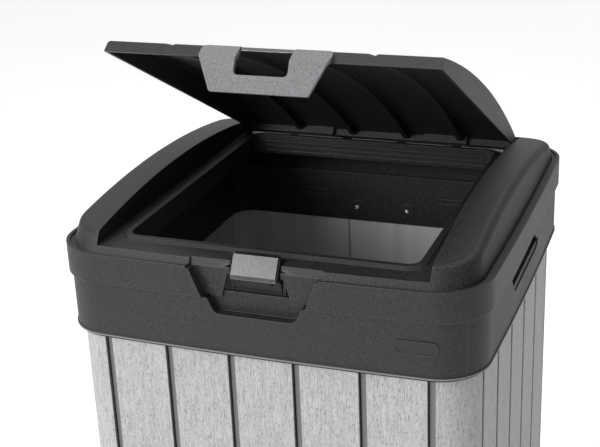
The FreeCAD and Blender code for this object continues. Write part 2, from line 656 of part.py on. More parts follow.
def make_lid():
    z = ZH
    above = box(-FAR, FAR, -FAR, FAR, z + LID_Z, z + 200)
    outer = round_lid(lid_block(0, 0).common(above))
    shell = outer.cut(lid_block(LID_T, LID_T))
    for c in groove_centres(PITCH_X)[1:PLANK_COUNT]:
        shell = shell.cut(vault_groove(c))
        half = LID_RIB_W / 2
        rib = box(c - half, c + half, -HY + 26, LID_REAR - 4, z + LID_Z, z + 200).common(lid_block(2.5, 2.5))
        shell = shell.fuse(rib.cut(under_vault(LID_RIB_DROP, -FAR, FAR)))
    x0, x1 = BARREL_SPAN
    web = box(x0, x1, PIVOT_Y - 4, LID_REAR, z + PIVOT_Z, z + 150).common(lid_block(1.0, 0))
    shell = joined([shell] + both_sides(joined([web, cyl_x(BARREL_R, x0, x1, PIVOT_Y, z + PIVOT_Z)])))
    for bore in both_sides(cyl_x(LID_PIN_R + RUN_GAP, x0 - 8, x1 + 8, PIVOT_Y, z + PIVOT_Z)):
        shell = shell.cut(bore)
    window = STRAP_WINDOW_X
    shell = shell.cut(box(-window, window, -FAR, lean_y(LID_Z) + 9, z + 80, z + STRIKE_TOP))
    return shell.removeSplitter()


def round_lid(solid):
    """Ease the lid's long top edges."""
    edges = []
    for e in solid.Edges:
        zs = [v.Z for v in e.Vertexes]
        if min(zs) > ZH + LID_Z + 2:
            edges.append(e)
    return solid.makeFillet(LID_EDGE_R, edges)


def make_strap():
    """Pull strap: a leaning upper part and a hanging lower part round a window."""
    z = ZH
    g = 0.15
    fold = LID_Z
    y_in = STRAP_Y + STRAP_T
    prof = [(lean_y(fold) - g, z + fold), (lean_y(STRAP_TOP) - g, z + STRAP_TOP)]
    prof += [(lean_y(STRAP_TOP) - STRAP_T - g, z + STRAP_TOP - 1.4), (STRAP_Y, z + fold - 1)]
    prof += [(STRAP_Y, z + STRAP_LOW), (y_in, z + STRAP_LOW), (y_in, z + fold - 3)]
    body = poly_x(prof, -FAR, FAR).common(strap_face())
    low = z + STRAP_WINDOW_LOW
    window = box(-STRAP_WINDOW_X, STRAP_WINDOW_X, -FAR, -HY + 46, low, z + 120)
    corners = [e for e in window.Edges if is_along_y(e) and e.Vertexes[0].Z < low + 1]
    return body.cut(window.makeFillet(STRAP_WINDOW_R, corners))


def strap_face():
    """Outline of the strap as seen from the front, as a prism along Y."""
    z = ZH
    half = STRAP_HALF + STRAP_SLOPE * (LID_Z - STRAP_LOW)
    pts = [(-STRAP_HALF, z + STRAP_LOW), (-half, z + LID_Z), (-half - 2, z + STRAP_TOP)]
    pts += [(half + 2, z + STRAP_TOP), (half, z + LID_Z), (STRAP_HALF, z + STRAP_LOW)]
    prism = poly_y(pts, -FAR, -HY + 46)
    corners = [e for e in prism.Edges if is_along_y(e) and e.Vertexes[0].Z < z + STRAP_LOW + 1]
    prism = prism.makeFillet(STRAP_CORNER_R, corners)
    shoulders = [e for e in prism.Edges if is_along_y(e) and e.Vertexes[0].Z > z + STRAP_TOP - 1]
    return prism.makeFillet(STRAP_SHOULDER_R, shoulders)


def make_strike():
    """Steel strip across the top of the strap's window, which the latch nose hooks behind."""
    z = ZH
    prof = [(lean_y(STRIKE_LOW) - 2.2, z + STRIKE_LOW), (lean_y(STRIKE_TOP) - 2.2, z + STRIKE_TOP)]
    prof += [(lean_y(STRIKE_TOP) - 0.8, z + STRIKE_TOP), (lean_y(STRIKE_LOW) - 0.8, z + STRIKE_LOW)]
    return poly_x(prof, -STRAP_WINDOW_X, STRAP_WINDOW_X)


def is_along_y(edge):
    a = edge.Vertexes[0].Point
    b = edge.Vertexes[-1].Point
    return abs(a.x - b.x) < 0.01 and abs(a.z - b.z) < 0.01 and abs(a.y - b.y) > 0.5


# ----------------------------------------------------------------------- latch
def make_latch():
    z = ZH
    f = -HY
    prof = [(18.0, 105.6), (14.6, 104.6), (4.0, 88.0), (3.6, 84.2), (8.0, 84.0), (13.0, 80.0)]
    prof += [(15.8, 68.0), (15.8, 61.5), (18.0, 58.6), (22.0, 58.4)]
    prof += [(24.0, 61.0), (24.0, 80.0), (20.0, 98.0)]
    lever = poly_x([(f + p[0], z + p[1]) for p in prof], -LATCH_X, LATCH_X)
    hollow = [(18.5, 99.0), (8.0, 85.5), (14.0, 83.0), (19.5, 80.0)]
    hollow += [(21.0, 72.0), (28.0, 72.0), (28.0, 99.0)]
    lever = lever.cut(poly_x([(f + p[0], z + p[1]) for p in hollow], -LATCH_X + 3, LATCH_X - 3))
    lever = lever.cut(box(-6.5, 6.5, f + 16.4, f + 30, z + 57, z + 74))
    lever = lever.cut(cyl_x(LATCH_PIN_R + RUN_GAP, -FAR, FAR, LATCH_PIVOT_Y, z + LATCH_PIVOT_Z))
    lever = lever.cut(cyl_y(1.3, 15.0, f + 11, f + 26, z + 76.5))
    cover = [(18.0, 105.75), (14.45, 104.7), (3.85, 88.05), (3.45, 84.3), (2.1, 84.1)]
    cover += [(2.5, 88.5), (13.5, 105.9), (17.8, 107.0)]
    plate = poly_x([(f + p[0], z + p[1]) for p in cover], -LATCH_COVER_X, LATCH_COVER_X)
    return {"latch_lever": lever.removeSplitter(), "latch_plate": plate}


def make_latch_mount():
    z = ZH
    f = -HY
    pivot = z + LATCH_PIVOT_Z
    low = z + 58
    top = z + SEAT_Z - 3.3
    cheek = box(LATCH_X + 1.0, LATCH_X + 4.0, f + 15.6, f + 29.4, low, top)
    back = box(-LATCH_X - 4.0, LATCH_X + 4.0, f + 29.4, f + 31.8, low, top)
    tab = box(LATCH_X + 3.4, LATCH_X + 13.4, f + 21.0, f + 31.8, top - 3, top)
    housing = joined([back] + both_sides(cheek) + both_sides(tab))
    housing = housing.cut(cyl_x(LATCH_PIN_R + 0.03, -FAR, FAR, LATCH_PIVOT_Y, pivot))
    screws = []
    for x in (LATCH_SCREW_X, -LATCH_SCREW_X):
        housing = housing.cut(Part.makeCylinder(LATCH_SCREW_R + SCREW_GAP, 30, V(x, LATCH_SCREW_Y, z + 80)))
        head = Part.makeCylinder(3.0, 1.8, V(x, LATCH_SCREW_Y, top - 4.8))
        shaft = Part.makeCylinder(LATCH_SCREW_R, 4.6, V(x, LATCH_SCREW_Y, top - 3.2))
        screws.append(head.fuse(shaft).removeSplitter())
    pin_half = LATCH_X + 4.8
    return {
        "latch_housing": housing,
        "latch_pin": cyl_x(LATCH_PIN_R, -pin_half, pin_half, LATCH_PIVOT_Y, pivot),
        "latch_spring": make_latch_spring(pivot),
        "latch_screws": group(screws),
    }


def make_latch_spring(pivot):
    """Turns of the torsion spring, with a leg on the first and on the last."""
    rings = []
    half = (SPRING_TURNS - 1) * SPRING_PITCH / 2
    for i in range(SPRING_TURNS):
        centre = V(i * SPRING_PITCH - half, LATCH_PIVOT_Y, pivot)
        rings.append(Part.makeTorus(SPRING_R, SPRING_WIRE_R, centre, V(1, 0, 0)))
    y = LATCH_PIVOT_Y + SPRING_R - SPRING_WIRE_R
    up = box(-half - 0.5, -half + 0.5, y, y + 1.0, pivot, pivot + 8.5)
    back = box(half - 0.5, half + 0.5, y, LATCH_PIVOT_Y + 9.0, pivot - 3.2, pivot - 2.2)
    return group([rings[0].fuse(up)] + rings[1:-1] + [rings[-1].fuse(back)])


# ----------------------------------------------------------------- hood hinge
def make_hood_hinge():
    z = Z0
    y = HINGE_Y
    h = ZH + HINGE_Z
    half = HINGE_HALF
    leaf_x = HINGE_LEAF_X
    fixed = [box(-half, half, CY + 0.2, CY + 2.4, z + 5.5, ZH + 58)]
    tube = cyl_x(HINGE_R, leaf_x + 0.3, half, y, h)
    knuckle = box(leaf_x + 0.3, half, CY + 0.2, CY + 2.4, ZH + 50, h).fuse(tube)
    bracket = joined(fixed + both_sides(knuckle)).cut(cyl_x(HINGE_PIN_R + 0.03, -FAR, FAR, y, h))
    leaf = [box(-leaf_x, leaf_x, HY + 0.1, HY + 2.0, h + 2.0, ZH + 90)]
    leaf.append(cyl_x(HINGE_R, -leaf_x, leaf_x, y, h))
    moving = joined(leaf).cut(cyl_x(HINGE_PIN_R + RUN_GAP, -FAR, FAR, y, h))
    screws = []
    inner = CY - INNER_U - INNER_T - BOSS_T
    for x in (-HINGE_SCREW_X, HINGE_SCREW_X):
        ball = Part.makeSphere(4.2, V(x, inner + 1.6, z))
        head = ball.common(box(x - 6, x + 6, inner - 2.4, inner - 0.05, z - 6, z + 6))
        screw = joined([head, cyl_y(HINGE_SCREW_R, x, inner - 0.6, CY + 1.0, z)])
        screws.append(screw.cut(box(x - 3, x + 3, inner - 4, inner - 1.7, z - 0.5, z + 0.5)))
    leaf_screws = []
    for x in (-LEAF_SCREW_X, LEAF_SCREW_X):
        moving = moving.cut(cyl_y(LEAF_SCREW_R + SCREW_GAP, x, HY - 1, HY + 5, ZH + LEAF_SCREW_Z))
        shaft = cyl_y(LEAF_SCREW_R, x, HY - 6, HY + 2.6, ZH + LEAF_SCREW_Z)
        leaf_screws.append(joined([shaft, cyl_y(3.4, x, HY + 2.05, HY + 2.95, ZH + LEAF_SCREW_Z)]))
    return {
        "hood_hinge_bracket": bracket,
        "hood_hinge_leaf": moving,
        "hood_hinge_pin": cyl_x(HINGE_PIN_R, -half - 1, half + 1, y, h),
        "hinge_screws": group(screws),
        "hinge_leaf_screws": group(leaf_screws),
    }


# ------------------------------------------------------------------------ base
def foot_places():
    kx = CX - FOOT_INSET
    ky = CY - FOOT_INSET
    return [V(sx * kx, sy * ky, 0) for sx in (-1, 1) for sy in (-1, 1)]


def make_base():
    top = BASE_H
    floor_edge = INNER_U + 11.4
    parts = [plan_ring(0, COLLAR_T, FOOT_H, top, False)]
    parts.append(plan_ring(0, BODY_INSET - 0.4, top - 3, top, False))
    parts.append(plan_ring(0, floor_edge, FLOOR_Z - 3, FLOOR_Z, False))
    parts.append(plan_ring(INNER_U, INNER_U + INNER_T, FLOOR_Z - 3, top, False))
    for place in foot_places():
        pad = Part.makeCylinder(26, 5, place + V(0, 0, FOOT_H))
        parts.append(pad.common(plan_solid(0, FOOT_H, top, False)))
        parts.append(Part.makeCylinder(6, FLOOR_Z - FOOT_H - 2, place + V(0, 0, FOOT_H)))
    mouth = TRAY_X + TRAY_GAP
    plinth = joined(parts).cut(box(-mouth, mouth, -FAR, -CY + 8, FOOT_H + 3, FLOOR_Z - 4.5))
    feet = []
    for place in foot_places():
        plinth = plinth.cut(Part.makeCylinder(4.1, 6, place + V(0, 0, FOOT_H)))
        pad = Part.makeCylinder(FOOT_R, FOOT_H - 0.1, place)
        pad = pad.makeFillet(2.0, [pad.Edges[0], pad.Edges[2]])
        feet.append(pad.fuse(Part.makeCylinder(4.0, 5.5, place + V(0, 0, FOOT_H - 0.1))).removeSplitter())
    return {"base_plinth": plinth, "base_floor": make_floor_plate(), "feet": group(feet)}


def make_floor_plate():
    """Slotted floor inside the walls, stiffened by ribs between the slots."""
    plate = plan_solid(INNER_U + INNER_T + 0.5, FLOOR_Z + 0.1, FLOOR_Z + 4.1, False)
    sx = SLOT_LEN / 2
    sy = FLOOR_SLOT_W / 2
    rib_x = HX - RIB_INSET
    rows = int((HY - RIB_INSET) // SLOT_ROW)
    columns = int((rib_x - sx) // SLOT_COLUMN)
    for i in range(-rows, rows + 1):
        for j in range(-columns, columns + 1):
            x = j * SLOT_COLUMN
            y = i * SLOT_ROW
            plate = plate.cut(box(x - sx, x + sx, y - sy, y + sy, FLOOR_Z - 1, FLOOR_Z + 6))
    for i in range(-rows, rows):
        y = (i + 0.5) * SLOT_ROW
        plate = plate.fuse(box(-rib_x, rib_x, y - 1.5, y + 1.5, FLOOR_Z + 4.1, FLOOR_Z + 7.0))
    return plate.removeSplitter()


def make_tray():
    """Drip pan, its clipped-on front with a finger notch, the cup behind the notch, and the runners."""
    low = FOOT_H + 6.5
    top = FLOOR_Z - 8.0
    face = -CY + 0.2
    front = -CY + GRIP_DEPTH + 3.4
    rear = CY - TRAY_REAR
    x = TRAY_X - 6
    t = TRAY_T
    pan = box(-x, x, front, rear, low, top).cut(box(-x + t, x - t, front + t, rear - t, low + t, top + 1))
    flange = box(-x - 5, x + 5, front, rear, top - t, top)
    flange = flange.cut(box(-x + 1, x - 1, front + 1, rear - 1, low, top + 1))
    fascia = box(-TRAY_X, TRAY_X, face, face + 3.4, FOOT_H + 4.5, FLOOR_Z - 6.0)
    pocket_low = FLOOR_Z - 17.0
    pocket = box(-GRIP_X - 2, GRIP_X + 2, face + 3.45, face + GRIP_DEPTH + 3.0, pocket_low - 2, top)
    hand = box(-GRIP_X, GRIP_X, -CY - 1, face + GRIP_DEPTH + 1, pocket_low, FLOOR_Z - 7.8)
    shelf = box(-x, x, face + 3.0, face + GRIP_DEPTH + 3.0, low, low + t)
    notch = box(-GRIP_X, GRIP_X, -CY - 1, face + 4, pocket_low, FLOOR_Z)
    tray_front = joined([fascia, shelf]).cut(notch)
    xr = TRAY_X + 1.0
    zr = FLOOR_Z - 11.2
    y = CY - RUNNER_END
    web = box(xr + 2.0, xr + 5.0, -y, y, zr - 3, FLOOR_Z - 3.2)
    foot = box(xr - 4.5, xr + 5.0, -y, y, zr - 3, zr)
    hanger = box(xr + 2.0, xr + 16.0, -y, y, FLOOR_Z - 5.2, FLOOR_Z - 3.2)
    return {
        "drip_tray": joined([pan, flange]),
        "tray_front": tray_front,
        "tray_grip": pocket.cut(hand),
        "tray_runners": group(both_sides(joined([web, foot, hanger]))),
    }


# ---------------------------------------------------------------------- export
def at_rest_open(shape):
    """Turn a lid piece from closed to its rest angle."""
    out = shape.copy()
    out.rotate(V(0, PIVOT_Y, ZH + PIVOT_Z), V(1, 0, 0), -LID_OPEN)
    return out


def build():
    nodes = {}
    nodes.update(make_walls())
    nodes.update(make_collar())
    nodes["collar_badge"] = make_badge()
    nodes["hood_frame"] = make_hood()
    pin_in = EAR_SPANS[0][0] - PIN_END
    pin_out = EAR_SPANS[1][1] + PIN_END
    nodes["lid_hinge_pins"] = group(both_sides(cyl_x(LID_PIN_R, pin_in, pin_out, PIVOT_Y, ZH + PIVOT_Z)))
    nodes["lid_shell"] = at_rest_open(make_lid())
    nodes["lid_pull"] = at_rest_open(make_strap())
    nodes["latch_strike"] = at_rest_open(make_strike())
    nodes.update(make_latch())
    nodes.update(make_latch_mount())
    nodes.update(make_hood_hinge())
    nodes.update(make_base())
    nodes.update(make_tray())
    return nodes


def main():
    os.makedirs("parts", exist_ok=True)
    nodes = build()
    for name in sorted(nodes):
        shape = nodes[name]
        b = shape.BoundBox
        sizes = (b.XMin, b.XMax, b.YMin, b.YMax, b.ZMin, b.ZMax)
        text = " ".join("%.1f" % v for v in sizes)
        facts = (name, len(shape.Solids), shape.isValid(), shape.Volume, text)
        print("%-20s solids %d valid %s vol %.0f  %s" % facts)
        shape.exportStep("parts/" + name + ".step")


main()
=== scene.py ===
import math

import bmesh
import bpy
from mathutils import Matrix, Vector


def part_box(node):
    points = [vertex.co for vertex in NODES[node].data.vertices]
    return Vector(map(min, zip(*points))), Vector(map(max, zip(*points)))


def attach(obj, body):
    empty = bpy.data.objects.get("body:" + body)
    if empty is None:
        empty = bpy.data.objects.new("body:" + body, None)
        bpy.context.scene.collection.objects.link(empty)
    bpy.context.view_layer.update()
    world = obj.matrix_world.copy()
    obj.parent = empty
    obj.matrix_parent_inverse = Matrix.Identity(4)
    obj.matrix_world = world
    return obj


bl_info = {
    "name": "Plank litter bin",
    "version": (1, 0, 0),
    "blender": (4, 5, 0),
    "location": "3D View > Sidebar > Litter bin",
    "description": "Finishes and trims a plank-walled litter bin with a hinged hood and a "
                   "vaulted lid",
    "category": "Object",
}

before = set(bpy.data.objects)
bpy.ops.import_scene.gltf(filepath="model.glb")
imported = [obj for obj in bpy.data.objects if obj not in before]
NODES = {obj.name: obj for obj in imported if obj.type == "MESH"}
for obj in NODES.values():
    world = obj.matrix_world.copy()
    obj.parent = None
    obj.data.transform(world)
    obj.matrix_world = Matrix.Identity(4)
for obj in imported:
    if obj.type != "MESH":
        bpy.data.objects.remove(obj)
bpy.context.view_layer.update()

WALLS = ("front_panel", "left_panel", "right_panel", "rear_panel_left", "rear_panel_right")
COLLAR = ("collar_front", "collar_left", "collar_right", "collar_rear")
BASE = ("base_plinth", "base_floor", "tray_runners")
TRAY = ("drip_tray", "tray_front", "tray_grip")
HINGE_PARTS = ("hood_hinge_bracket", "hood_hinge_leaf", "hood_hinge_pin", "lid_hinge_pins",
               "latch_pin")
SMALL_PARTS = ("hinge_screws", "hinge_leaf_screws", "latch_screws", "latch_spring")

MM = 0.001

# Outside of the plank walls: half width, half depth and corner radius.
WALL_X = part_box("right_panel")[1].x
WALL_Y = -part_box("front_panel")[0].y
WALL_CORNER = 43.2 * MM

# Depths behind the outside of the walls where one tone gives way to the next: plank face, channel,
# the slot painted black as painted shade, and the inside painted paler as painted light.
CHANNEL_DEPTH = 4.0 * MM
FACE_END = (0.2 * CHANNEL_DEPTH, 0.35 * CHANNEL_DEPTH)
SLOT_START = (1.08 * CHANNEL_DEPTH, 1.3 * CHANNEL_DEPTH)
INSIDE_START = (2.0 * CHANNEL_DEPTH, 2.2 * CHANNEL_DEPTH)

# Inner joint of the two rear panels, where a line of painted shade runs.
LAP_X = -46.3 * MM
LAP_HALF = (0.5 * MM, 1.0 * MM)

# Lines painted round the collar: painted shade in the real gap under the bead, a painted highlight
# on the real bead, and painted shade at the seam with the hood; bottom, top and tone of each.
COLLAR_LOW = 710.0 * MM
PAINTED_GAP_SHADE = (0.002, 0.002, 0.002)
PAINTED_BEAD_HIGHLIGHT = (0.17, 0.17, 0.172)
COLLAR_LINES = ((COLLAR_LOW - 0.2 * MM, COLLAR_LOW + 2.3 * MM, PAINTED_GAP_SHADE),
                (COLLAR_LOW + 2.7 * MM, COLLAR_LOW + 4.1 * MM, PAINTED_BEAD_HIGHLIGHT),
                (COLLAR_LOW + 60.4 * MM, COLLAR_LOW + 64.0 * MM, PAINTED_GAP_SHADE))
LINE_FADE = 0.2 * MM

# Two bars on each side of the hinge, inside the rear collar.
MARK_X = 89.0 * MM
MARK_OFF_WALL = 3.0 * MM
MARK_ABOVE_SCREWS = 20.0 * MM
MARK_BAR = (32.0 * MM, 1.6 * MM, 2.4 * MM)
MARK_THIN_BAR = (32.0 * MM, 1.0 * MM, 1.4 * MM)
MARK_STEP = Vector((0.0, 0.3 * MM, -6.0 * MM))
MARK_EASE = 0.5 * MM

# Rear of the hood's throat, and the height of the seat that the lid rests on.
THROAT_REAR = 161.5 * MM
SEAT = 808.6 * MM

RAIL_TOPS = (SEAT - 4.0 * MM, SEAT - 10.0 * MM, SEAT - 16.0 * MM)
RAIL_HEIGHT = 3.2 * MM
RAIL_OUT = 1.6 * MM
RAIL_TAPER = 0.22
RAIL_EASE = 0.5 * MM
RAIL_SUNK = 0.5 * MM
RAIL_REACH = 140.0 * MM

SEAL_FRONT = THROAT_REAR + 6.2 * MM
SEAL_REAR = THROAT_REAR + 10.6 * MM
SEAL_FOOT = SEAT - 0.8 * MM
SEAL_SHOULDER = SEAT + 2.2 * MM
SEAL_TOP = SEAT + 2.9 * MM
SEAL_EASE = 0.8 * MM
SEAL_REACH = 160.0 * MM
LID_RIBS = tuple(k * 68.8 * MM for k in (-1.5, -0.5, 0.5, 1.5))
RIB_CLEAR = 6.0 * MM

# Black resin of the shell: its grain per metre, how strongly the grain speckles it, the tone
# of the painted highlight on its edges, and how rough it is on the body and on the hood and lid.
SHELL_GRAIN = 430.0
SHELL_SPECKLE = 4.0
SHELL_EDGE_HIGHLIGHT = (0.17, 0.17, 0.175)
BODY_GLOSS = 0.54
HOOD_GLOSS = 0.52
RESIN_SPECULAR = 0.36

STAGE_MIDDLE = (0.0, 0.0, 0.75)
SKY_LEVEL = 0.54
SKY_OVERHEAD = 0.44
SKY_RIGHT_DIM = 0.58
FLOOR_TONE = (0.93, 0.93, 0.93)
FLOOR_GLOW = 0.26
SENSOR_WIDTH = 36.0


# ------------------------------------------------------------------ shader maths
class Value:
    """A shader socket that takes part in Python sums; each sum adds a Math node."""

    def __init__(self, nodes, socket):
        self.nodes = nodes
        self.socket = socket

    def sum(self, operation, *terms):
        return self.nodes.add("ShaderNodeMath", {"operation": operation}, dict(enumerate(terms)))

    def __add__(self, other):
        return self.sum("ADD", self, other)

    def __radd__(self, other):
        return self.sum("ADD", other, self)

    def __sub__(self, other):
        return self.sum("SUBTRACT", self, other)

    def __rsub__(self, other):
        return self.sum("SUBTRACT", other, self)

    def __mul__(self, other):
        return self.sum("MULTIPLY", self, other)

    def __pow__(self, other):
        return self.sum("POWER", self, other)

    def __abs__(self):
        return self.sum("ABSOLUTE", self)

    def at_least(self, low):
        return self.sum("MAXIMUM", self, low)

    def at_most(self, high):
        return self.sum("MINIMUM", self, high)

    def clamped(self):
        return self.at_least(0.0).at_most(1.0)


class Nodes:
    """A node tree that is filled by calls."""

    def __init__(self, tree):
        self.tree = tree

    def add(self, kind, settings=None, inputs=None, output=0):
        """Adds a node, sets its settings first and its sockets after, and returns one output."""
        node = self.tree.nodes.new(kind)
        for key, setting in (settings or {}).items():
            if key == "stops":
                self.set_stops(node.color_ramp, setting)
            else:
                setattr(node, key, setting)
        for key, term in (inputs or {}).items():
            self.plug(node.inputs[key], term)
        return Value(self, node.outputs[output])

    def set_stops(self, ramp, stops):
        while len(ramp.elements) < len(stops):
            ramp.elements.new(1.0)
        for element, (place, colour) in zip(ramp.elements, stops):
            element.position = place
            element.color = (*colour, 1.0) if len(colour) == 3 else colour

    def plug(self, socket, term):
        if isinstance(term, Value):
            self.tree.links.new(term.socket, socket)
        else:
            socket.default_value = term


class Finish(Nodes):
    """One procedural material, built up from nodes and wired into a Principled shader."""

    def __init__(self, name):
        self.material = bpy.data.materials.new(name)
        self.material.use_nodes = True
        super().__init__(self.material.node_tree)
        self.tree.nodes.clear()
        self.shader = self.tree.nodes.new("ShaderNodeBsdfPrincipled")
        output = self.tree.nodes.new("ShaderNodeOutputMaterial")
        self.tree.links.new(self.shader.outputs["BSDF"], output.inputs["Surface"])

    def finish(self, **terms):
        for key, term in terms.items():
            self.plug(self.shader.inputs[key.replace("_", " ").title()], term)
        return self.material

    def place(self, stretch=(1, 1, 1)):
        """Place on the piece in metres, each axis multiplied by stretch."""
        here = self.add("ShaderNodeTexCoord", output="Object")
        return self.add("ShaderNodeVectorMath", {"operation": "MULTIPLY"}, {0: here, 1: stretch})

    def axes(self):
        """The x, y and z of the place on the piece, each as a value."""
        here = self.add("ShaderNodeTexCoord", output="Object")
        return [self.add("ShaderNodeSeparateXYZ", {}, {0: here}, axis) for axis in range(3)]

    def noise(self, scale, detail=2.0, rough=0.5, stretch=(1, 1, 1)):
        settings = {"noise_dimensions": "3D"}
        inputs = {"Vector": self.place(stretch), "Scale": scale,
                  "Detail": detail, "Roughness": rough}
        return self.add("ShaderNodeTexNoise", settings, inputs, "Fac")

    def cells(self, scale):
        inputs = {"Vector": self.place(), "Scale": scale}
        return self.add("ShaderNodeTexVoronoi", {}, inputs, "Distance")

    def ramp(self, value, low, high, start=0.0, end=1.0):
        """Maps value from low..high to start..end, held at both ends."""
        inputs = {"Value": value, "From Min": low, "From Max": high, "To Min": start, "To Max": end}
        return self.add("ShaderNodeMapRange", {"clamp": True}, inputs, "Result")

    def mix(self, factor, first, second):
        inputs = {0: factor, 6: self.colour(first), 7: self.colour(second)}
        return self.add("ShaderNodeMix", {"data_type": "RGBA"}, inputs, 2)

    def colour(self, term):
        return term if isinstance(term, Value) else (*term, 1.0)

    def shade(self, colour, value):
        """Colour made lighter or darker by a value about 1."""
        grey = self.add("ShaderNodeCombineColor", {}, {0: value, 1: value, 2: value})
        settings = {"data_type": "RGBA", "blend_type": "MULTIPLY"}
        return self.add("ShaderNodeMix", settings, {0: 1.0, 6: self.colour(colour), 7: grey}, 2)

    def rounded(self, radius):
        """Surface normal with its edges eased by radius."""
        return self.add("ShaderNodeBevel", {"samples": 4}, {"Radius": radius})

    def edge_mask(self, radius):
        """1 on sharp edges and 0 on flat faces."""
        eased = self.rounded(radius)
        plain = self.add("ShaderNodeNewGeometry", output="Normal")
        facing = self.add("ShaderNodeVectorMath", {"operation": "DOT_PRODUCT"},
                          {0: eased, 1: plain}, "Value")
        return self.ramp(facing, low=0.995, high=0.80)

    def relief(self, height, strength, distance, normal):
        inputs = {"Height": height, "Strength": strength, "Distance": distance, "Normal": normal}
        return self.add("ShaderNodeBump", {}, inputs)


# ---------------------------------------------------------------------- finishes
def moulded_resin(name, tone, gloss, grain, speckle, edge_tone, edge_radius, lines=()):
    """Moulded plastic with a coarse spark-eroded grain, a painted highlight on its edges, and lines
    of painted shade and painted highlight at given heights.
    """
    f = Finish(name)
    pits = f.noise(grain, detail=2.0, rough=0.6)
    fine = f.noise(grain * 1.9, detail=1.0)
    clouds = f.noise(9.0, detail=4.0, rough=0.55)
    flow = f.noise(24.0, stretch=(1, 1, 0.25))
    # Edges are painted lighter towards edge_tone, a painted highlight, and made a little smoother.
    bright_edge = f.edge_mask(edge_radius)
    texture = pits * 0.72 + fine * 0.28
    level = 1.0 + (texture - 0.5) * speckle + (clouds - 0.5) * 0.22 + (flow - 0.5) * 0.10
    colour = f.mix(bright_edge * 0.8, f.shade(tone, level.at_least(0.1)), edge_tone)
    rough = (gloss + (clouds - 0.5) * 0.16 + (texture - 0.5) * 0.45 - bright_edge * 0.14).clamped()
    # Each line paints the outside between two heights in its tone: painted shade or a painted
    # highlight.
    for low, high, line_tone in lines:
        _, _, z = f.axes()
        line = f.ramp(z, low - LINE_FADE, low) * f.ramp(z, high, high + LINE_FADE, 1.0, 0.0)
        outside = f.ramp(depth_in_wall(f), 0.0, 1.0 * MM, 1.0, 0.0)
        colour = f.mix(line * outside, colour, line_tone)
    normal = f.relief(texture, strength=0.75, distance=0.9 * MM, normal=f.rounded(edge_radius))
    f.shader.inputs["Specular IOR Level"].default_value = RESIN_SPECULAR
    return f.finish(base_color=colour, roughness=rough, normal=normal)


def shell_resin(name, tone, gloss, edge_tone=SHELL_EDGE_HIGHLIGHT, lines=()):
    """Black resin of the collar, hood, lid and base."""
    return moulded_resin(name, tuple(tone), gloss, SHELL_GRAIN, SHELL_SPECKLE, edge_tone,
                         finishes().edge_radius, lines)


def depth_in_wall(f):
    """How far a point lies behind the outside of the rounded square wall, in metres."""
    x, y, _ = f.axes()
    past_x = abs(x) - (WALL_X - WALL_CORNER)
    past_y = abs(y) - (WALL_Y - WALL_CORNER)
    outer = (past_x.at_least(0.0) ** 2.0 + past_y.at_least(0.0) ** 2.0) ** 0.5
    inner = f.add("ShaderNodeMath", {"operation": "MAXIMUM"}, {0: past_x, 1: past_y}).at_most(0.0)
    return WALL_CORNER - outer - inner


def plank_resin(tone, dark, grain_scale):
    """Plastic with a wood grain on the planks, plain in the channels, painted shade (black) in the
    real slots, painted light inside (paler, in vertical stripes), and a line of painted shade where
    the rear panels lap."""
    f = Finish("plank_resin")
    fibre = f.noise(grain_scale, detail=4.0, rough=0.62, stretch=(1, 1, 0.10))
    flecks = f.noise(grain_scale * 1.25, detail=2.0, rough=0.55, stretch=(1, 1, 0.34))
    streak = f.noise(grain_scale * 0.30, detail=3.0, rough=0.55, stretch=(1, 1, 0.05))
    boards = f.noise(7.0, stretch=(1, 1, 0.25))
    depth = depth_in_wall(f)
    face = f.ramp(depth, *FACE_END, 1.0, 0.0)
    slot = f.ramp(depth, *SLOT_START)
    inside = f.ramp(depth, *INSIDE_START)
    stripes = f.noise(46.0, detail=3.0, rough=0.55, stretch=(1, 1, 0.03))
    pits = f.ramp(flecks, 0.52, 0.70)
    grain = (fibre - 0.5) * 1.05 + (streak - 0.5) * 0.26 - pits * 0.46
    level = 1.10 + face * grain + (boards - 0.5) * 0.10
    colour = f.mix(1.0 - face, f.shade(tone, level), f.shade(dark, level))
    # Painted shade: the real slots behind the channels are coloured black.
    colour = f.mix(slot, colour, (0.012, 0.012, 0.013))
    x, y, _ = f.axes()
    # Painted shade: a dark line down the inside where the rear panels lap.
    lap = f.ramp(abs(x - LAP_X), *LAP_HALF, 1.0, 0.0) * f.ramp(y, 0.0, 1.0 * MM)
    # Painted light: the inside of the walls is coloured paler, in vertical stripes, darkened along
    # the lap line.
    pale = f.shade((0.52, 0.515, 0.51), (0.72 + stripes * 0.56) * (1.0 - lap * 0.85))
    colour = f.mix(inside, colour, pale)
    bright_edge = f.edge_mask(1.0 * MM)
    colour = f.mix(bright_edge * 0.30, colour, (0.66, 0.66, 0.65))
    rough = (0.64 + (fibre - 0.5) * 0.20 - (1.0 - face) * 0.08).clamped()
    height = face * (fibre * 0.55 + streak * 0.2 - pits * 0.35)
    normal = f.relief(height, strength=0.60, distance=0.8 * MM, normal=f.rounded(0.9 * MM))
    return f.finish(base_color=colour, roughness=rough, normal=normal)


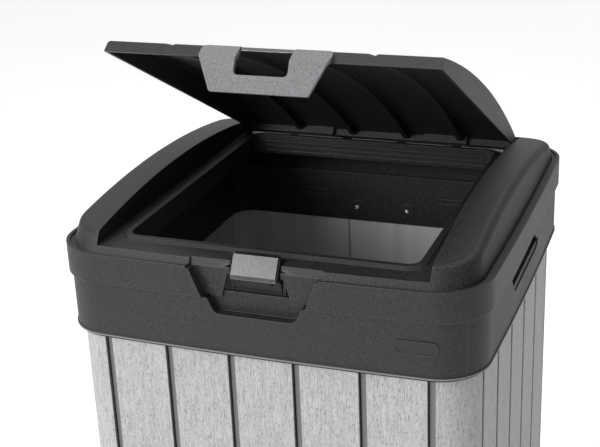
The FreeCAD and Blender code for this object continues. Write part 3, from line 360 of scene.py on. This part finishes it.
def brushed_metal(name, tone, gloss, along):
    """Metal with fine brush lines along one axis and polished edges."""
    f = Finish(name)
    stretch = tuple(0.02 if axis == along else 1.0 for axis in range(3))
    lines = f.noise(2600.0, detail=3.0, rough=0.6, stretch=stretch)
    broad = f.noise(420.0, stretch=stretch)
    smears = f.noise(55.0, detail=3.0, rough=0.6)
    bright_edge = f.edge_mask(0.6 * MM)
    level = 1.0 + (lines - 0.5) * 0.50 + (broad - 0.5) * 0.50 + (smears - 0.5) * 0.22
    colour = f.mix(bright_edge * 0.6, f.shade(tone, level), (0.86, 0.86, 0.87))
    rough = (gloss + (lines - 0.5) * 0.22 + (smears - 0.5) * 0.14).clamped()
    height = lines * 0.7 + broad * 0.3
    normal = f.relief(height, strength=0.30, distance=0.2 * MM, normal=f.rounded(0.5 * MM))
    return f.finish(base_color=colour, metallic=1.0, roughness=rough, normal=normal)


def turned_steel(name, tone, gloss):
    """Plated steel with faint spangles and darker stains."""
    f = Finish(name)
    spangle = f.cells(900.0)
    stain = f.noise(140.0, detail=4.0, rough=0.6)
    bright_edge = f.edge_mask(0.5 * MM)
    level = 0.94 + spangle * 0.16 + (stain - 0.5) * 0.30
    colour = f.mix(bright_edge * 0.5, f.shade(tone, level), (0.80, 0.80, 0.80))
    rough = (gloss + (stain - 0.5) * 0.25 + spangle * 0.08).clamped()
    normal = f.relief(stain, strength=0.15, distance=0.2 * MM, normal=f.rounded(0.4 * MM))
    return f.finish(base_color=colour, metallic=1.0, roughness=rough, normal=normal)


def foot_rubber():
    """Matt black rubber with fine pores and a little dust."""
    f = Finish("foot_rubber")
    dust = f.noise(60.0, detail=4.0, rough=0.6)
    pores = f.noise(1500.0)
    level = 1.0 + (dust - 0.5) * 0.6 + (pores - 0.5) * 0.4
    colour = f.shade((0.022, 0.022, 0.023), level)
    rough = (0.82 + (dust - 0.5) * 0.2).clamped()
    normal = f.relief(pores, strength=0.35, distance=0.4 * MM, normal=f.rounded(0.8 * MM))
    return f.finish(base_color=colour, roughness=rough, normal=normal)


def floor_paint():
    """Pale floor that glows a little, so that it stays light away from the lamps."""
    f = Finish("floor_paint")
    clouds = f.noise(1.5, detail=3.0)
    colour = f.shade(FLOOR_TONE, 0.98 + clouds * 0.04)
    f.shader.inputs["Emission Strength"].default_value = FLOOR_GLOW
    return f.finish(base_color=colour, roughness=0.9 + clouds * 0.05, emission_color=colour)


# ------------------------------------------------------------------ mesh helpers
def apply_finish(material, names):
    """Gives the named CAD pieces one material in place of their own."""
    for name in names:
        mesh = NODES[name].data
        mesh.materials.clear()
        mesh.materials.append(material)


def new_piece(name, mesh_maker, material, body):
    """Object from a bmesh maker, riding on a body and tied to a material slot."""
    bm = bmesh.new()
    mesh_maker(bm)
    bmesh.ops.recalc_face_normals(bm, faces=bm.faces)
    mesh = bpy.data.meshes.new(name)
    bm.to_mesh(mesh)
    bm.free()
    mesh.materials.append(material)
    piece = bpy.data.objects.new(name, mesh)
    bpy.context.scene.collection.objects.link(piece)
    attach(piece, body)
    return piece


def soften(piece, width):
    """Rounds a piece's sharp edges with real geometry."""
    bevel = piece.modifiers.new("eased edges", "BEVEL")
    bevel.width = width
    bevel.segments = 2
    bevel.limit_method = "ANGLE"
    bevel.angle_limit = math.radians(40.0)
    bevel.use_clamp_overlap = True
    bevel.harden_normals = False


def block(bm, centre, size):
    """Adds a box to a bmesh."""
    made = bmesh.ops.create_cube(bm, size=1.0)
    bmesh.ops.scale(bm, vec=size, verts=made["verts"])
    bmesh.ops.translate(bm, vec=centre, verts=made["verts"])


def extruded(bm, profile, left, right):
    """Bar along X whose section is a list of (y, z) points."""
    ends = [[bm.verts.new((x, y, z)) for y, z in profile] for x in (left, right)]
    count = len(profile)
    for k in range(count):
        after = (k + 1) % count
        bm.faces.new((ends[0][k], ends[0][after], ends[1][after], ends[1][k]))
    for end in ends:
        bm.faces.new(end)


# -------------------------------------------------------------------- properties
class BinFinishes(bpy.types.PropertyGroup):
    plank_tone: bpy.props.FloatVectorProperty(
        name="Plank tone", description="Colour of the plank faces", subtype="COLOR",
        size=3, min=0, max=1, default=(0.335, 0.335, 0.330))
    channel_tone: bpy.props.FloatVectorProperty(
        name="Channel tone", description="Colour of the channels between planks", subtype="COLOR",
        size=3, min=0, max=1, default=(0.125, 0.125, 0.125))
    resin_tone: bpy.props.FloatVectorProperty(
        name="Resin tone", description="Colour of the collar, hood and base", subtype="COLOR",
        size=3, min=0, max=1, default=(0.0175, 0.0175, 0.0195))
    lid_tone: bpy.props.FloatVectorProperty(
        name="Lid tone", description="Colour of the lid", subtype="COLOR",
        size=3, min=0, max=1, default=(0.0170, 0.0170, 0.0190))
    pull_tone: bpy.props.FloatVectorProperty(
        name="Pull tone", description="Colour of the pull on the lid's edge", subtype="COLOR",
        size=3, min=0, max=1, default=(0.170, 0.170, 0.178))
    # Pale tone of the seal: painted light on the strip behind the throat.
    seal_painted_light_tone: bpy.props.FloatVectorProperty(
        name="Seal tone", description="Colour of the seal behind the throat", subtype="COLOR",
        size=3, min=0, max=1, default=(0.42, 0.42, 0.42))
    latch_tone: bpy.props.FloatVectorProperty(
        name="Latch tone", description="Colour of the brushed latch cover", subtype="COLOR",
        size=3, min=0, max=1, default=(0.085, 0.086, 0.088))
    edge_radius: bpy.props.FloatProperty(
        name="Edge radius", description="Rounding of moulded edges", subtype="DISTANCE",
        unit="LENGTH", min=0, default=0.0007)
    grain_scale: bpy.props.FloatProperty(
        name="Plank grain", description="Fibres per metre across a plank", min=10, default=620.0)


class BinStage(bpy.types.PropertyGroup):
    azimuth: bpy.props.FloatProperty(
        name="Azimuth", description="Camera's turn to the right of the front", subtype="ANGLE",
        default=math.radians(21.26))
    elevation: bpy.props.FloatProperty(
        name="Elevation", description="Camera's height above the level", subtype="ANGLE",
        default=math.radians(21.62))
    roll: bpy.props.FloatProperty(
        name="Roll", description="Camera's tilt about its line of sight", subtype="ANGLE",
        default=math.radians(-2.46))
    distance: bpy.props.FloatProperty(
        name="Distance", description="Camera to the point it looks at", subtype="DISTANCE",
        unit="LENGTH", default=1.42286)
    aim: bpy.props.FloatVectorProperty(
        name="Aim", description="Point the camera looks at", subtype="TRANSLATION",
        unit="LENGTH", size=3, default=(-0.03578, 0.0, 0.76369))
    lens: bpy.props.FloatProperty(
        name="Lens", description="Focal length on a 36 mm wide sensor, in millimetres",
        default=75.45)
    floor_radius: bpy.props.FloatProperty(
        name="Floor radius", description="Radius of the round floor", subtype="DISTANCE",
        unit="LENGTH", default=14.0)


def finishes():
    return bpy.context.scene.bin_finishes


# --------------------------------------------------------------------- operators
class BIN_OT_walls(bpy.types.Operator):
    """Give the five wall panels their wood-grained plank finish"""

    bl_idname = "bin.walls"
    bl_label = "Finish the plank walls"

    def execute(self, context):
        look = finishes()
        planks = plank_resin(tuple(look.plank_tone), tuple(look.channel_tone), look.grain_scale)
        apply_finish(planks, WALLS)
        return {"FINISHED"}


class BIN_OT_collar(bpy.types.Operator):
    """Finish the four collar pieces and the badge, and add the moulded marks inside the rear one"""

    bl_idname = "bin.collar"
    bl_label = "Finish the collar"

    def execute(self, context):
        look = finishes()
        resin = shell_resin("collar_resin", look.resin_tone, BODY_GLOSS, lines=COLLAR_LINES)
        apply_finish(resin, COLLAR)
        badge = moulded_resin("badge_resin", tuple(look.resin_tone), 0.44, 1900.0, 0.35,
                              (0.12, 0.12, 0.125), 0.5 * MM)
        apply_finish(badge, ("collar_badge",))
        add_collar_marks(resin)
        return {"FINISHED"}


def add_collar_marks(material):
    """A thick bar over a thin one on each side of the hinge, inside the rear collar."""
    low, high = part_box("hinge_screws")
    height = (low.z + high.z) / 2 + MARK_ABOVE_SCREWS
    for side, name in ((-1, "collar_mark_left"), (1, "collar_mark_right")):
        centre = Vector((side * MARK_X, low.y + MARK_OFF_WALL, height))

        def bars(bm, centre=centre):
            block(bm, centre, MARK_BAR)
            block(bm, centre + MARK_STEP, MARK_THIN_BAR)

        mark = new_piece(name, bars, material, "bin_body")
        soften(mark, MARK_EASE)


class BIN_OT_hood(bpy.types.Operator):
    """Finish the hood frame, and add the rails under its rear rim and the seal behind it, whose
    pale tone is painted light
    """

    bl_idname = "bin.hood"
    bl_label = "Finish the hood"

    def execute(self, context):
        look = finishes()
        resin = shell_resin("hood_resin", look.resin_tone, HOOD_GLOSS)
        apply_finish(resin, ("hood_frame",))
        add_throat_rails(resin)
        # The seal's pale tone and lighter edges are painted light.
        add_rear_seal(moulded_resin("seal_painted_light_resin", tuple(look.seal_painted_light_tone), 0.40, 900.0, 0.8,
                                    (0.62, 0.62, 0.62), 0.4 * MM))
        return {"FINISHED"}


def add_throat_rails(material):
    """Three stepped rails across the rear wall of the throat."""
    for k, top in enumerate(RAIL_TOPS):
        face = THROAT_REAR - RAIL_OUT * (1.0 - RAIL_TAPER * k)
        root = THROAT_REAR + RAIL_SUNK
        low = top - RAIL_HEIGHT
        profile = ((root, low), (face, low + RAIL_OUT), (face, top - RAIL_EASE),
                   (face + RAIL_EASE, top), (root, top))

        def bar(bm, profile=profile):
            extruded(bm, profile, -RAIL_REACH, RAIL_REACH)

        new_piece("throat_rail_%d" % (k + 1), bar, material, "hood")


def add_rear_seal(material):
    """Seal behind the throat's rear rim, in lengths that leave the lid's ribs free."""
    edges = [-SEAL_REACH]
    for rib in LID_RIBS:
        edges += [rib - RIB_CLEAR, rib + RIB_CLEAR]
    edges.append(SEAL_REACH)
    profile = ((SEAL_FRONT, SEAL_FOOT), (SEAL_FRONT, SEAL_SHOULDER),
               (SEAL_FRONT + SEAL_EASE, SEAL_TOP), (SEAL_REAR - SEAL_EASE, SEAL_TOP),
               (SEAL_REAR, SEAL_SHOULDER), (SEAL_REAR, SEAL_FOOT))
    for k in range(0, len(edges), 2):

        def length(bm, left=edges[k], right=edges[k + 1]):
            extruded(bm, profile, left, right)

        new_piece("rear_seal_%d" % (k // 2 + 1), length, material, "hood")


class BIN_OT_lid(bpy.types.Operator):
    """Finish the vaulted lid and its pull"""

    bl_idname = "bin.lid"
    bl_label = "Finish the lid"

    def execute(self, context):
        look = finishes()
        apply_finish(shell_resin("lid_resin", look.lid_tone, HOOD_GLOSS), ("lid_shell",))
        pull = moulded_resin("pull_resin", tuple(look.pull_tone), 0.50, 760.0, 2.6,
                             (0.30, 0.30, 0.31), look.edge_radius)
        apply_finish(pull, ("lid_pull",))
        return {"FINISHED"}


class BIN_OT_latch(bpy.types.Operator):
    """Finish the push latch: black lever and housing, brushed cover and strike"""

    bl_idname = "bin.latch"
    bl_label = "Finish the latch"

    def execute(self, context):
        look = finishes()
        cover = brushed_metal("latch_cover", tuple(look.latch_tone), 0.34, along=2)
        apply_finish(cover, ("latch_plate", "latch_strike"))
        black = moulded_resin("latch_resin", (0.016, 0.016, 0.017), 0.36, 2200.0, 0.40,
                              (0.07, 0.07, 0.072), 0.5 * MM)
        apply_finish(black, ("latch_lever", "latch_housing"))
        return {"FINISHED"}


class BIN_OT_hardware(bpy.types.Operator):
    """Finish the hinge parts, pins, screws and spring in plated steel"""

    bl_idname = "bin.hardware"
    bl_label = "Finish the hardware"

    def execute(self, context):
        apply_finish(turned_steel("hinge_steel", (0.50, 0.51, 0.52), 0.34), HINGE_PARTS)
        apply_finish(turned_steel("screw_steel", (0.42, 0.42, 0.43), 0.38), SMALL_PARTS)
        return {"FINISHED"}


class BIN_OT_base(bpy.types.Operator):
    """Finish the plinth, floor, runners, drip tray and feet"""

    bl_idname = "bin.base"
    bl_label = "Finish the base"

    def execute(self, context):
        look = finishes()
        resin = shell_resin("base_resin", look.resin_tone, BODY_GLOSS, (0.11, 0.11, 0.115))
        apply_finish(resin, BASE)
        tray = moulded_resin("tray_resin", (0.040, 0.040, 0.043), 0.46, 760.0, 0.9,
                             (0.13, 0.13, 0.135), look.edge_radius)
        apply_finish(tray, TRAY)
        apply_finish(foot_rubber(), ("feet",))
        return {"FINISHED"}


class BIN_OT_stage(bpy.types.Operator):
    """Set up the pale floor, the soft lights and the camera"""

    bl_idname = "bin.stage"
    bl_label = "Set the stage"

    def execute(self, context):
        stage = context.scene.bin_stage
        make_floor(stage.floor_radius)
        make_lights()
        make_camera(stage)
        return {"FINISHED"}


def make_floor(radius):
    """Round floor at height zero, kept out of the part."""
    bm = bmesh.new()
    bmesh.ops.create_circle(bm, cap_ends=True, segments=96, radius=radius)
    mesh = bpy.data.meshes.new("floor")
    bm.to_mesh(mesh)
    bm.free()
    mesh.materials.append(floor_paint())
    floor = bpy.data.objects.new("floor", mesh)
    bpy.context.scene.collection.objects.link(floor)


def softbox(name, place, size, power):
    """Rectangular lamp that faces the middle of the bin."""
    lamp = bpy.data.lights.new(name, "AREA")
    lamp.shape = "RECTANGLE"
    lamp.size, lamp.size_y = size
    lamp.energy = power
    light = bpy.data.objects.new(name, lamp)
    light.location = place
    light.rotation_mode = "QUATERNION"
    light.rotation_quaternion = (Vector(STAGE_MIDDLE) - Vector(place)).to_track_quat("-Z", "Y")
    bpy.context.scene.collection.objects.link(light)


def make_lights():
    softbox("key", place=(-1.5, -2.5, 1.9), size=(1.5, 1.2), power=64.0)
    softbox("top", place=(-0.3, 0.6, 3.2), size=(2.0, 2.0), power=26.0)
    bpy.context.scene.world = studio_world()
    bpy.context.scene.view_settings.view_transform = "Standard"


def studio_world():
    """Pale surroundings, brighter overhead and dimmer on the right-hand side, where they go
    below zero and the sky turns black."""
    world = bpy.data.worlds.new("studio")
    world.use_nodes = True
    n = Nodes(world.node_tree)
    here = n.add("ShaderNodeTexCoord", output="Generated")
    x, _, z = [n.add("ShaderNodeSeparateXYZ", {}, {0: here}, axis) for axis in range(3)]
    overhead = z.at_least(0.0) * SKY_OVERHEAD
    strength = SKY_LEVEL + overhead - x.at_least(0.0) * SKY_RIGHT_DIM
    background = world.node_tree.nodes["Background"]
    background.inputs["Color"].default_value = (1.0, 1.0, 1.0, 1.0)
    n.plug(background.inputs["Strength"], strength)
    return world


def make_camera(stage):
    """Camera at an angle and distance from the point it looks at."""
    lens = bpy.data.cameras.new("camera")
    lens.sensor_width = SENSOR_WIDTH
    lens.sensor_fit = "HORIZONTAL"
    lens.lens = stage.lens
    lens.clip_start, lens.clip_end = 0.05, 100.0
    around, up = stage.azimuth, stage.elevation
    back = Vector((math.sin(around) * math.cos(up), -math.cos(around) * math.cos(up), math.sin(up)))
    right = (-back).cross(Vector((0, 0, 1))).normalized()
    above = right.cross(-back)
    turned_right = right * math.cos(stage.roll) + above * math.sin(stage.roll)
    turned_up = above * math.cos(stage.roll) - right * math.sin(stage.roll)
    turn = Matrix((turned_right, turned_up, back)).transposed()
    camera = bpy.data.objects.new("camera", lens)
    place = Vector(stage.aim) + back * stage.distance
    camera.matrix_world = Matrix.Translation(place) @ turn.to_4x4()
    bpy.context.scene.collection.objects.link(camera)
    bpy.context.scene.camera = camera


OPERATORS = (BIN_OT_walls, BIN_OT_collar, BIN_OT_hood, BIN_OT_lid, BIN_OT_latch,
             BIN_OT_hardware, BIN_OT_base, BIN_OT_stage)


class BIN_PT_panel(bpy.types.Panel):
    """Sidebar list of the bin's steps"""

    bl_idname = "BIN_PT_panel"
    bl_label = "Litter bin"
    bl_space_type = "VIEW_3D"
    bl_region_type = "UI"
    bl_category = "Litter bin"

    def draw(self, context):
        for operator in OPERATORS:
            self.layout.operator(operator.bl_idname)
        for group in (context.scene.bin_finishes, context.scene.bin_stage):
            for key in group.__annotations__:
                self.layout.prop(group, key)


CLASSES = (BinFinishes, BinStage, *OPERATORS, BIN_PT_panel)


def register():
    for cls in CLASSES:
        bpy.utils.register_class(cls)
    bpy.types.Scene.bin_finishes = bpy.props.PointerProperty(type=BinFinishes)
    bpy.types.Scene.bin_stage = bpy.props.PointerProperty(type=BinStage)


def unregister():
    del bpy.types.Scene.bin_stage
    del bpy.types.Scene.bin_finishes
    for cls in reversed(CLASSES):
        bpy.utils.unregister_class(cls)


def main():
    register()
    bpy.ops.bin.walls()
    bpy.ops.bin.collar()
    bpy.ops.bin.hood()
    bpy.ops.bin.lid()
    bpy.ops.bin.latch()
    bpy.ops.bin.hardware()
    bpy.ops.bin.base()
    bpy.ops.bin.stage()


if __name__ == "__main__":
    main()
